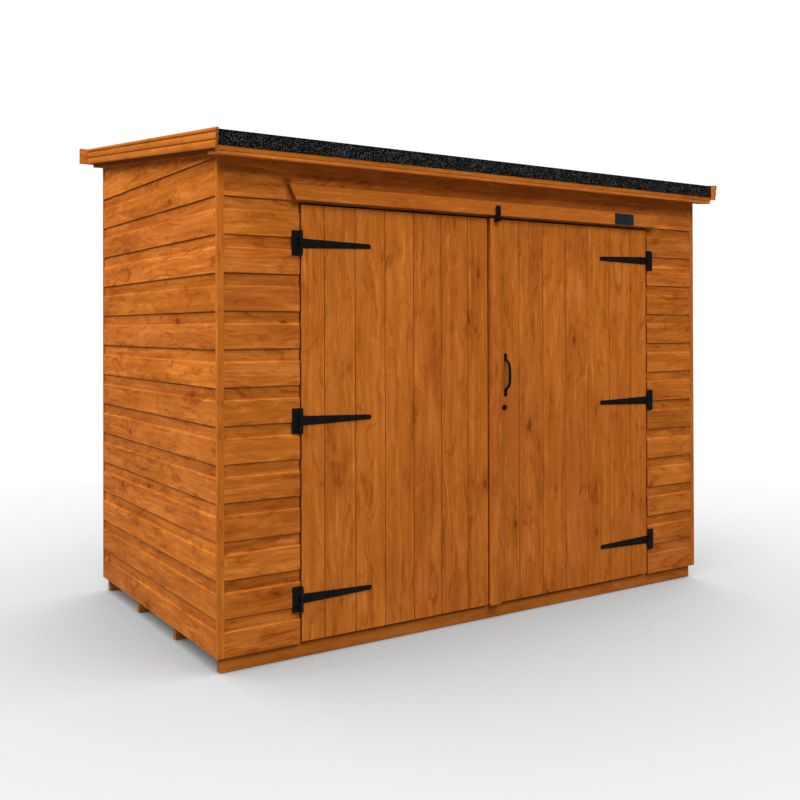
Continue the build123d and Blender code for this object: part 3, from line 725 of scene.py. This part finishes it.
# ------------------------------------------------------------------ over the doors
b = Boards(111)
dprof = mm([(0, 0), (50, 0), (50, 15), (49.2, 17.2), (47.0, 20.8), (45.0, 22), (1.6, 22), (0.5, 21.4), (0, 20)])
b.prism(dprof, (0, Y0, DRIP_Z), X, Z, -Y, lambda p: -(0.808 + 0.023 * (p.z - DRIP_Z) / 0.050), lambda p: 0.808 + 0.023 * (p.z - DRIP_Z) / 0.050, shade=0.85)
b.done("drip_board_timber", "root", M_TRIM, ("drip_board",))


# ------------------------------------------------------------------ small ironwork
def solid(name, bm, body, mat, nodes=(), smooth=35):
    bmesh.ops.recalc_face_normals(bm, faces=bm.faces)
    me = bpy.data.meshes.new(name)
    bm.to_mesh(me)
    bm.free()
    return place(name, me, body, mat, nodes, smooth)


def plate(bm, outline, y_back, thick, ease=0.0007, steps=2):
    """A flat plate: outline in x and z, lying on y_back and standing towards -Y, its front arris eased. The outline runs anticlockwise seen from the front."""
    k = len(outline)
    rings = []
    levels = [(0.0, 0.0), (thick - ease, 0.0)]
    for j in range(1, steps + 1):
        a = math.pi / 2 * j / steps
        levels.append((thick - ease + ease * math.sin(a), ease * (1 - math.cos(a))))
    for h, inset in levels:
        ring = []
        for i in range(k):
            p0, p1, p2 = Vector(outline[i - 1]), Vector(outline[i]), Vector(outline[(i + 1) % k])
            e1, e2 = (p1 - p0).normalized(), (p2 - p1).normalized()
            n1, n2 = Vector((-e1.y, e1.x)), Vector((-e2.y, e2.x))
            nn = n1 + n2
            if nn.length < 1e-6:
                nn = n1
            nn = nn / max(0.5, nn.dot(n1)) if nn.dot(n1) else nn
            q = p1 + nn * inset
            ring.append(bm.verts.new((q.x, y_back - h, q.y)))
        rings.append(ring)
    for a, c in zip(rings, rings[1:]):
        for i in range(k):
            bm.faces.new((a[i], a[(i + 1) % k], c[(i + 1) % k], c[i]))
    bm.faces.new(rings[0])
    bm.faces.new(rings[-1])


def lathe(bm, centre, axis, prof, seg=24):
    """A turned shape: prof is (distance along axis, radius); ends with radius 0 close to a point."""
    axis = Vector(axis).normalized()
    u = axis.orthogonal().normalized()
    v = axis.cross(u)
    centre = Vector(centre)
    rings = []
    for h, r in prof:
        if r <= 1e-7:
            rings.append([bm.verts.new(centre + axis * h)])
        else:
            rings.append([bm.verts.new(centre + axis * h + (u * math.cos(2 * math.pi * i / seg) + v * math.sin(2 * math.pi * i / seg)) * r) for i in range(seg)])
    for a, c in zip(rings, rings[1:]):
        if len(a) == 1 and len(c) == 1:
            continue
        for i in range(seg):
            j = (i + 1) % seg
            if len(a) == 1:
                bm.faces.new((a[0], c[i], c[j]))
            elif len(c) == 1:
                bm.faces.new((a[i], a[j], c[0]))
            else:
                bm.faces.new((a[i], a[j], c[j], c[i]))
    if len(rings[0]) > 1:
        bm.faces.new(rings[0])
    if len(rings[-1]) > 1:
        bm.faces.new(rings[-1])


def screw(bm, x, y, z, r=0.0036, turn=0.3):
    """A countersunk cross-head screw seen from the front, its head just proud of y."""
    lathe(bm, (x, y + 0.0008, z), (0, -1, 0), [(0, r), (0.0010, r), (0.0014, r * 0.86), (0.0016, r * 0.5), (0.0010, r * 0.34), (0.0004, 0)], 20)


def rounded_rect(cx, cz, w, h, r, n=4):
    pts = []
    for (sx, sz, a0) in ((1, -1, -90), (1, 1, 0), (-1, 1, 90), (-1, -1, 180)):
        for i in range(n + 1):
            a = math.radians(a0 + 90 * i / n)
            pts.append((cx + sx * (w / 2 - r) + r * math.cos(a), cz + sz * (h / 2 - r) + r * math.sin(a)))
    return pts


def box_part(bm, x0, x1, y0, y1, z0, z1):
    vs = [bm.verts.new((x, y, z)) for x in (x0, x1) for y in (y0, y1) for z in (z0, z1)]
    for f in ((0, 1, 3, 2), (4, 6, 7, 5), (0, 4, 5, 1), (2, 3, 7, 6), (0, 2, 6, 4), (1, 5, 7, 3)):
        bm.faces.new([vs[i] for i in f])


def barrel(bm, x, y, za, zb, r=0.0055, hole=0.0):
    e = 0.0007
    if not hole:
        lathe(bm, (x, y, za), (0, 0, 1), [(0, 0), (0, r - e), (e, r), (zb - za - e, r), (zb - za, r - e), (zb - za, 0)], 32)
    else:
        lathe_ring(bm, (x, y, za), zb - za, r, hole, e)


def lathe_ring(bm, base, h, r, hole, e, seg=32):
    prof = [(0, hole), (0, r - e), (e, r), (h - e, r), (h, r - e), (h, hole)]
    rings = []
    for z, q in prof:
        rings.append([bm.verts.new((base[0] + q * math.cos(2 * math.pi * i / seg), base[1] + q * math.sin(2 * math.pi * i / seg), base[2] + z)) for i in range(seg)])
    for k in range(len(prof)):
        a, c = rings[k], rings[(k + 1) % len(prof)]
        for i in range(seg):
            j = (i + 1) % seg
            bm.faces.new((a[i], a[j], c[j], c[i]))


PT = 0.003
for side, s, px, body in (("left", 1, PIN_L, "left_door"), ("right", -1, PIN_R, "right_door")):
    bm = bmesh.new()
    for cz in HINGE_Z:
        plate(bm, rounded_rect(px - s * (0.001 + 0.0145), cz, 0.029, 0.080, 0.002), Y0, PT, 0.0008)
        for za, zb in ((cz - 0.040, cz - 0.014), (cz + 0.014, cz + 0.040)):
            barrel(bm, px, PIN_Y, za, zb)
            # the leaf rolls round into the knuckle
            xs = sorted((px - s * 0.0090, px - s * 0.0004))
            box_part(bm, xs[0], xs[1], Y0 - 0.0052, Y0 - 0.0002, za + 0.0004, zb - 0.0004)
        lathe(bm, (px, PIN_Y, cz - 0.0398), (0, 0, 1), [(0, 0), (0, 0.0025), (0.0796, 0.0025), (0.0796, 0)], 20)
        for dx, dz in ((0.0185, 0.031), (0.0185, -0.031), (0.0185, 0.0), (0.0105, 0.0)):
            if dz == 0.0 and dx < 0.015:
                continue
            screw(bm, px - s * dx, Y0 - PT, cz + dz)
    solid(side + "_hinge_leaves", bm, "root", M_IRON, (side + "_hinge_plates",))

    bm = bmesh.new()
    L, h0, h1 = 0.262, 0.030, 0.015
    for cz in HINGE_Z:
        tip = L - h1 / 2
        pts = [(0.0066, -0.0135), (0.0085, -h0 / 2)]
        pts += [(tip, -h1 / 2)]
        pts += [(tip + h1 / 2 * math.sin(math.radians(a)), -h1 / 2 * math.cos(math.radians(a))) for a in range(15, 180, 15)]
        pts += [(tip, h1 / 2), (0.0085, h0 / 2), (0.0066, 0.0135)]
        pts = [(px + s * a, cz + c) for a, c in pts]
        if s < 0:
            pts.reverse()
        plate(bm, pts, Y0, PT, 0.0008)
        barrel(bm, px, PIN_Y, cz - 0.0134, cz + 0.0134, 0.0055, 0.0028)
        xs = sorted((px + s * 0.0030, px + s * 0.0092))
        box_part(bm, xs[0], xs[1], Y0 - 0.0052, Y0 - 0.0002, cz - 0.0130, cz + 0.0130)
        for d in (0.030, 0.105, 0.180, 0.247):
            screw(bm, px + s * d, Y0 - PT, cz + (0.0 if d > 0.05 else 0.0), 0.0038 if d < 0.2 else 0.0032)
    solid(side + "_strap_irons", bm, body, M_IRON, (side + "_hinge_straps",))

# blank plate over the right leaf
bm = bmesh.new()
plate(bm, rounded_rect(X0 + 1.700, DRIP_Z + 0.0232, 0.101, 0.0435, 0.002), Y0 - 0.022, 0.0025, 0.0006)
for dx in (-0.044, 0.044):
    screw(bm, X0 + 1.700 + dx, Y0 - 0.0245 + 0.0004, DRIP_Z + 0.0232, 0.0020)
solid("blank_plate", bm, "root", M_SLATE, ("name_plate",))


# ------------------------------------------------------------------ doors
def tongue_profile(w, left_groove=True, right_tongue=True):
    w = w * 1000
    c = 1.7
    pts = [(0.35, -12.0)]
    if left_groove:
        pts += [(0.35, -8.2), (6.0, -8.2), (6.0, -3.9), (0.35, -3.9)]
    pts += [(0.35, -2.2), (c, 0.0)] if left_groove else [(0.0, -12.0)][:0] + [(0.0, -1.2), (1.2, 0.0)]
    if not left_groove:
        pts[0] = (0.0, -12.0)
    if right_tongue:
        pts += [(w - c, 0.0), (w - 0.35, -2.2), (w - 0.35, -4.1), (w + 5.0, -4.1), (w + 5.0, -8.0), (w - 0.35, -8.0), (w - 0.35, -12.0)]
    else:
        pts += [(w - 1.2, 0.0), (w, -1.2), (w, -12.0)]
    return mm(pts)


BP = 0.989 * PITCH
LOCK = Vector((X0 + 1.110, Y0, Z0 + 0.705))


def door_boards(side, x_a, x_b, first_line, seed, body, node):
    b = Boards(seed)
    lines = [x_a]
    x = first_line
    while x < x_b - 0.02:
        if x > x_a + 0.02:
            lines.append(x)
        x += BP
    lines.append(x_b)
    for i in range(len(lines) - 1):
        w = lines[i + 1] - lines[i]
        # painted shade: the V-joints between the boards are darkened
        b.prism(tongue_profile(w, i > 0, i < len(lines) - 2), (lines[i], Y0, 0), Z, X, -Y, ZD0, ZD1, step=0.35, bow=0.0003, painted_shade=lambda a, o: 5.0 if -0.0050 < o < -0.0015 else 0.0)
    ob = b.done(side + "_door_boarding", body, M_DOOR, (node,))
    return ob


def cut_hole(ob, centre, r):
    """Bores the round hole through the boards; its wall takes the wood's own grain and is darkened with painted shade.
    """
    bm = bmesh.new()
    g = bm.verts.layers.float_vector.new("grain")
    bb = bm.verts.layers.float_vector.new("board")
    painted_shade_layer = bm.verts.layers.float.new("painted_shade")
    e = bm.faces.layers.float.new("endgrain")
    seg = 48
    rings = []
    for y in (-0.03, 0.03):
        ring = []
        for i in range(seg):
            a = 2 * math.pi * i / seg
            v = bm.verts.new(centre + Vector((r * math.cos(a), y, r * math.sin(a))))
            v[g] = Vector((7 + r * math.sin(a), 3 + r * math.cos(a), 2 + y))
            # painted shade: the hole's wall gets a low board tone and a painted-shade weight of 3
            v[bb] = Vector((0.1, 0.5, 0.5))
            v[painted_shade_layer] = 3.0
            ring.append(v)
        rings.append(ring)
    for i in range(seg):
        j = (i + 1) % seg
        f = bm.faces.new((rings[0][i], rings[0][j], rings[1][j], rings[1][i]))
        f[e] = 1.0
    bm.faces.new(rings[0])
    bm.faces.new(rings[1])
    bmesh.ops.recalc_face_normals(bm, faces=bm.faces)
    me = bpy.data.meshes.new("hole_tool")
    bm.to_mesh(me)
    bm.free()
    tool = bpy.data.objects.new("hole_tool", me)
    bpy.context.scene.collection.objects.link(tool)
    md = ob.modifiers.new("hole", "BOOLEAN")
    md.object = tool
    md.operation = "DIFFERENCE"
    md.solver = "EXACT"
    dg = bpy.context.evaluated_depsgraph_get()
    new = bpy.data.meshes.new_from_object(ob.evaluated_get(dg), preserve_all_data_layers=True, depsgraph=dg)
    ob.modifiers.clear()
    old = ob.data
    new.name = old.name + "_bored"
    ob.data = new
    bpy.data.meshes.remove(old)
    bpy.data.objects.remove(tool)
    bpy.data.meshes.remove(me)
    new.set_sharp_from_angle(angle=math.radians(20))


door_boards("left", LEAF_L0, LEAF_L1, X0 + 0.3676, 121, "left_door", "left_door_boards")
rd = door_boards("right", LEAF_R0, LEAF_R1, X0 + 1.2935 - 2 * BP, 127, "right_door", "right_door_boards")
cut_hole(rd, LOCK, 0.0125)

for side, body, ex0, ex1, sd in (("left", "left_door", LEAF_L0 + 0.018, LEAF_L1 - 0.030, 131), ("right", "right_door", LEAF_R0 + 0.030, LEAF_R1 - 0.018, 133)):
    b = Boards(sd)
    for cz in HINGE_Z:
        b.prism(round_poly([(Y0 + 0.012, cz - 0.035), (Y0 + 0.034, cz - 0.035), (Y0 + 0.034, cz + 0.035), (Y0 + 0.012, cz + 0.035)], [0.0005, 0.002, 0.002, 0.0005]), (0, 0, 0), X, Y, Z, ex0, ex1, step=0.3)
    ob = b.done(side + "_ledges", body, M_FRAME, (side + "_door_ledges",))
    if side == "right":
        cut_hole(ob, LOCK + Y * 0.022, 0.016)
    b = Boards(sd + 1)
    hx, mx = (ex0, ex1) if side == "left" else (ex1, ex0)
    s = 1 if mx > hx else -1
    for k in (0, 1):
        za, zb = HINGE_Z[k] + 0.035, HINGE_Z[k + 1] - 0.035
        run = Vector((mx - s * 0.130 - (hx + s * 0.040), 0, zb - za))
        b.prism(rect(0.0, 0.090, 0, 0.022, 0.0012), (hx + s * 0.040, Y0 + 0.012, za), run.normalized(), X * s, Y, 0.0, run.length)
    b.done(side + "_braces", body, M_FRAME, (side + "_door_braces",))

b = Boards(141)
b.prism(round_poly([(LEAF_R0, Y0), (LEAF_R0 + 0.047, Y0), (LEAF_R0 + 0.047, Y0 - 0.012), (LEAF_R0, Y0 - 0.012)], [0, 0, 0.0022, 0.0022], 3), (0, 0, 0), Z, X, Y, Z0 + 0.003, ZD1, step=0.35, bow=0.0, shade=0.62)
b.done("cover_strip_timber", "right_door", M_DOOR, ("cover_strip",))


# ------------------------------------------------------------------ handle
def sweep(bm, pts, widths, seg=16):
    """A bar of round section through pts in the YZ plane; widths gives (half width along X, half depth) at each."""
    rings = []
    for i, p in enumerate(pts):
        a, c = pts[max(0, i - 1)], pts[min(len(pts) - 1, i + 1)]
        t = (c - a).normalized()
        nrm = X.cross(t).normalized()
        wx, wn = widths[i]
        rings.append([bm.verts.new(p + X * wx * math.cos(2 * math.pi * j / seg) + nrm * wn * math.sin(2 * math.pi * j / seg)) for j in range(seg)])
    for a, c in zip(rings, rings[1:]):
        for j in range(seg):
            q = (j + 1) % seg
            bm.faces.new((a[j], a[q], c[q], c[j]))
    bm.faces.new(rings[0])
    bm.faces.new(rings[-1])


hx = X0 + 1.113
hz0, hz1 = Z0 + 0.748, Z0 + 0.903
bm = bmesh.new()
for fz in (hz0 + 0.014, hz1 - 0.014):
    plate(bm, rounded_rect(hx, fz, 0.012, 0.028, 0.003), Y0, 0.004, 0.0012, 3)
    screw(bm, hx, Y0 - 0.004, fz + (-0.005 if fz < (hz0 + hz1) / 2 else 0.005), 0.0034)
ctrl = [(-0.0030, 0.0190), (-0.0078, 0.0262), (-0.0152, 0.0318), (-0.0212, 0.0390), (-0.0246, 0.0490), (-0.0257, 0.0620), (-0.0260, 0.0775)]
ctrl += [(y, 0.155 - z) for y, z in reversed(ctrl[:-1])]
raw = [Vector((hx, Y0 + y, hz0 + z)) for y, z in ctrl]


def smooth_path(p, n=5):
    out = []
    for i in range(len(p) - 1):
        p0, p1, p2, p3 = p[max(0, i - 1)], p[i], p[i + 1], p[min(len(p) - 1, i + 2)]
        for j in range(n):
            t = j / n
            out.append(0.5 * ((2 * p1) + (p2 - p0) * t + (2 * p0 - 5 * p1 + 4 * p2 - p3) * t * t + (3 * p1 - p0 - 3 * p2 + p3) * t ** 3))
    out.append(p[-1])
    return out


path = smooth_path(raw)
wd = []
for i in range(len(path)):
    f = abs(2 * i / (len(path) - 1) - 1)
    wd.append((0.0052 + 0.0006 * f ** 3, 0.0046 - 0.0016 * f ** 4))
sweep(bm, path, wd, 20)
solid("pull_handle", bm, "right_door", M_IRON, ("door_handle",), 50)

# ------------------------------------------------------------------ latch
lx = LEAF_R0 + 0.0235 - 0.002
ly = Y0 - 0.022 - 0.006
lz = Z0 + 1.4045
bm = bmesh.new()
plate(bm, rounded_rect(lx, lz, 0.0200, 0.0570, 0.003), ly, 0.0024, 0.0006)
# raised slide down the middle, with a collar at the top and a knob at the foot
plate(bm, rounded_rect(lx, lz + 0.001, 0.0085, 0.040, 0.0035), ly - 0.0024, 0.0015, 0.0009, 3)
plate(bm, rounded_rect(lx, lz + 0.0205, 0.0180, 0.0075, 0.002), ly - 0.0024, 0.0014, 0.0006)
lathe(bm, (lx, ly - 0.0022, lz - 0.0215), (0, -1, 0), [(0, 0.0050), (0.0010, 0.0050), (0.0017, 0.0040), (0.0017, 0.0)], 24)
plate(bm, rounded_rect(lx, Z0 + 1.381, 0.016, 0.009, 0.002), Y0 - 0.012, 0.016, 0.0002, 1)
solid("latch_bar", bm, "right_door", M_IRON, ("door_latch",))

# ------------------------------------------------------------------ nail heads
bm = bmesh.new()
rng = random.Random(5)


def nail(bm, p, out, r=0.0017):
    lathe(bm, Vector(p) + Vector(out) * 0.0001, out, [(0, r), (0.00025, r * 0.92), (0.0004, 0)], 8)


for k in range(13):
    z = Z0 + k * PITCH + 0.022
    for xx in (X0 + CORNER + 0.016, DOOR_L - 0.017, DOOR_R + 0.017, X1 - CORNER - 0.016):
        if k < 12:
            nail(bm, (xx + rng.uniform(-0.002, 0.002), Y0, z + rng.uniform(-0.003, 0.003)), (0, -1, 0))
for k in range(14):
    z = Z0 + k * PITCH + 0.022
    for yy in (YS0 + 0.019, (YS0 + YS1) / 2, YS1 - 0.019):
        if z + 0.03 > under(yy):
            continue
        for sgn in (-1, 1):
            nail(bm, ((X0 if sgn < 0 else X1), yy + rng.uniform(-0.003, 0.003), z + rng.uniform(-0.003, 0.003)), (sgn, 0, 0))
    for xx in (X0 + CORNER + 0.019, -0.514, 0.0, 0.514, X1 - CORNER - 0.019):
        if z + 0.03 < under(Y1):
            nail(bm, (xx + rng.uniform(-0.003, 0.003), Y1, z + rng.uniform(-0.003, 0.003)), (0, 1, 0))
solid("wall_nails", bm, "root", M_NAIL, ())

# ------------------------------------------------------------------ camera, floor and light
yaw, pitch, roll = 0.5780252, 0.005322, -0.0025994
fwd = Vector((math.sin(yaw) * math.cos(pitch), math.cos(yaw) * math.cos(pitch), math.sin(pitch)))
right = Vector((math.cos(yaw), -math.sin(yaw), 0))
up = right.cross(fwd)
r2 = right * math.cos(roll) + up * math.sin(roll)
u2 = up * math.cos(roll) - right * math.sin(roll)
cam_data = bpy.data.cameras.new("camera")
cam_data.sensor_width = 36.0
cam_data.lens = 973.1366 / 800 * 36
cam_data.shift_x = 0.0
cam_data.shift_y = -(400 - 323.637) / 800
cam_data.clip_start, cam_data.clip_end = 0.05, 200
cam = bpy.data.objects.new("camera", cam_data)
bpy.context.scene.collection.objects.link(cam)
m = Matrix.Identity(4)
for i in range(3):
    m[i][0], m[i][1], m[i][2] = r2[i], u2[i], -fwd[i]
m[0][3], m[1][3], m[2][3] = -2.201498, -3.340396, 1.042888
cam.matrix_world = m
bpy.context.scene.camera = cam


def floor_mat():
    """Pale studio floor: seen by the camera it glows as if under an even white dome, with painted shade from ambient
    occlusion darkening it softly towards the shed, and fades into the white background; other rays meet a dark grey
    floor.
    """
    k = Nodes("studio_floor")
    geo = k.new("ShaderNodeNewGeometry").outputs["Position"]
    ln = k.new("ShaderNodeVectorMath", operation="LENGTH")
    k.link(geo, ln.inputs[0])
    far = k.map(ln.outputs["Value"], 1.6, 4.0, 0.0, 1.06)
    n = k.noise(geo, 3.0, 3, 0.5).outputs["Fac"]
    lp = k.new("ShaderNodeLightPath").outputs["Is Camera Ray"]
    k.bsdf.inputs["Base Color"].default_value = (0.24, 0.24, 0.24, 1)
    k.link(k.math("MULTIPLY_ADD", n, 0.05, 0.7), k.bsdf.inputs["Roughness"])
    k.bsdf.inputs["Specular IOR Level"].default_value = 0.1
    # painted shade: the camera sees the floor glow, its strength taken from ambient occlusion, so it darkens towards
    # the shed
    ao = k.new("ShaderNodeAmbientOcclusion", samples=4)
    ao.inputs["Distance"].default_value = 6.0
    seen = k.math("MULTIPLY_ADD", ao.outputs["AO"], 1.105, -0.030)
    seen = k.math("MAXIMUM", seen, far)
    em = k.new("ShaderNodeEmission")
    em.inputs["Color"].default_value = (1, 1, 1, 1)
    k.link(seen, em.inputs["Strength"])
    gl = k.new("ShaderNodeBsdfGlossy")
    k.link(k.math("MULTIPLY_ADD", n, 0.03, 0.07), gl.inputs["Roughness"])
    gm = k.new("ShaderNodeMixShader")
    gm.inputs[0].default_value = 0.07
    k.link(em.outputs[0], gm.inputs[1])
    k.link(gl.outputs[0], gm.inputs[2])
    mx = k.new("ShaderNodeMixShader")
    k.link(lp, mx.inputs[0])
    k.link(k.bsdf.outputs[0], mx.inputs[1])
    k.link(gm.outputs[0], mx.inputs[2])
    k.link(mx.outputs[0], k.out.inputs[0])
    return k.mat


bm = bmesh.new()
R = 60
vs = [bm.verts.new((R * math.cos(2 * math.pi * i / 64), R * math.sin(2 * math.pi * i / 64), -0.0002)) for i in range(64)]
bm.faces.new(vs)
me = bpy.data.meshes.new("studio_floor")
bm.to_mesh(me)
bm.free()
fl = bpy.data.objects.new("studio_floor", me)
bpy.context.scene.collection.objects.link(fl)
me.materials.append(floor_mat())


def area(name, loc, target, size, energy, colour=(1, 1, 1)):
    ld = bpy.data.lights.new(name, "AREA")
    ld.shape = "RECTANGLE"
    ld.size, ld.size_y = size
    ld.energy = energy
    ld.color = colour
    ob = bpy.data.objects.new(name, ld)
    bpy.context.scene.collection.objects.link(ob)
    ob.location = loc
    ob.rotation_mode = "QUATERNION"
    ob.rotation_quaternion = (Vector(target) - Vector(loc)).to_track_quat("-Z", "Y")
    # the lamps aren't mirrored in the polished floor
    ob.visible_glossy = False
    return ob


area("key_left", (-6.3, -1.1, 7.6), (-0.9, 0, 0.85), (4.6, 5.6), 1230)
area("front_top", (-0.2, -7.0, 7.2), (0.0, -0.5, 0.85), (6.5, 5.0), 690)
# a soft fill for the back and the right side, which the photo's view doesn't see
area("back_fill", (4.5, 6.5, 6.0), (0.2, 0.4, 0.85), (6.0, 5.0), 560)

w = bpy.data.worlds.new("studio")
bpy.context.scene.world = w
w.use_nodes = True
nt = w.node_tree
nt.nodes.clear()
o = nt.nodes.new("ShaderNodeOutputWorld")
bg = nt.nodes.new("ShaderNodeBackground")
bg.inputs[0].default_value = (1, 1, 1, 1)
bg.inputs[1].default_value = 0.14
bg2 = nt.nodes.new("ShaderNodeBackground")
bg2.inputs[0].default_value = (1, 1, 1, 1)
bg2.inputs[1].default_value = 1.05
lp = nt.nodes.new("ShaderNodeLightPath")
mix = nt.nodes.new("ShaderNodeMixShader")
nt.links.new(lp.outputs["Is Camera Ray"], mix.inputs[0])
nt.links.new(bg.outputs[0], mix.inputs[1])
nt.links.new(bg2.outputs[0], mix.inputs[2])
nt.links.new(mix.outputs[0], o.inputs[0])

sc = bpy.context.scene
sc.view_settings.view_transform = "Standard"
sc.view_settings.look = "None"
sc.view_settings.exposure = 0.0
sc.view_settings.gamma = 1.0
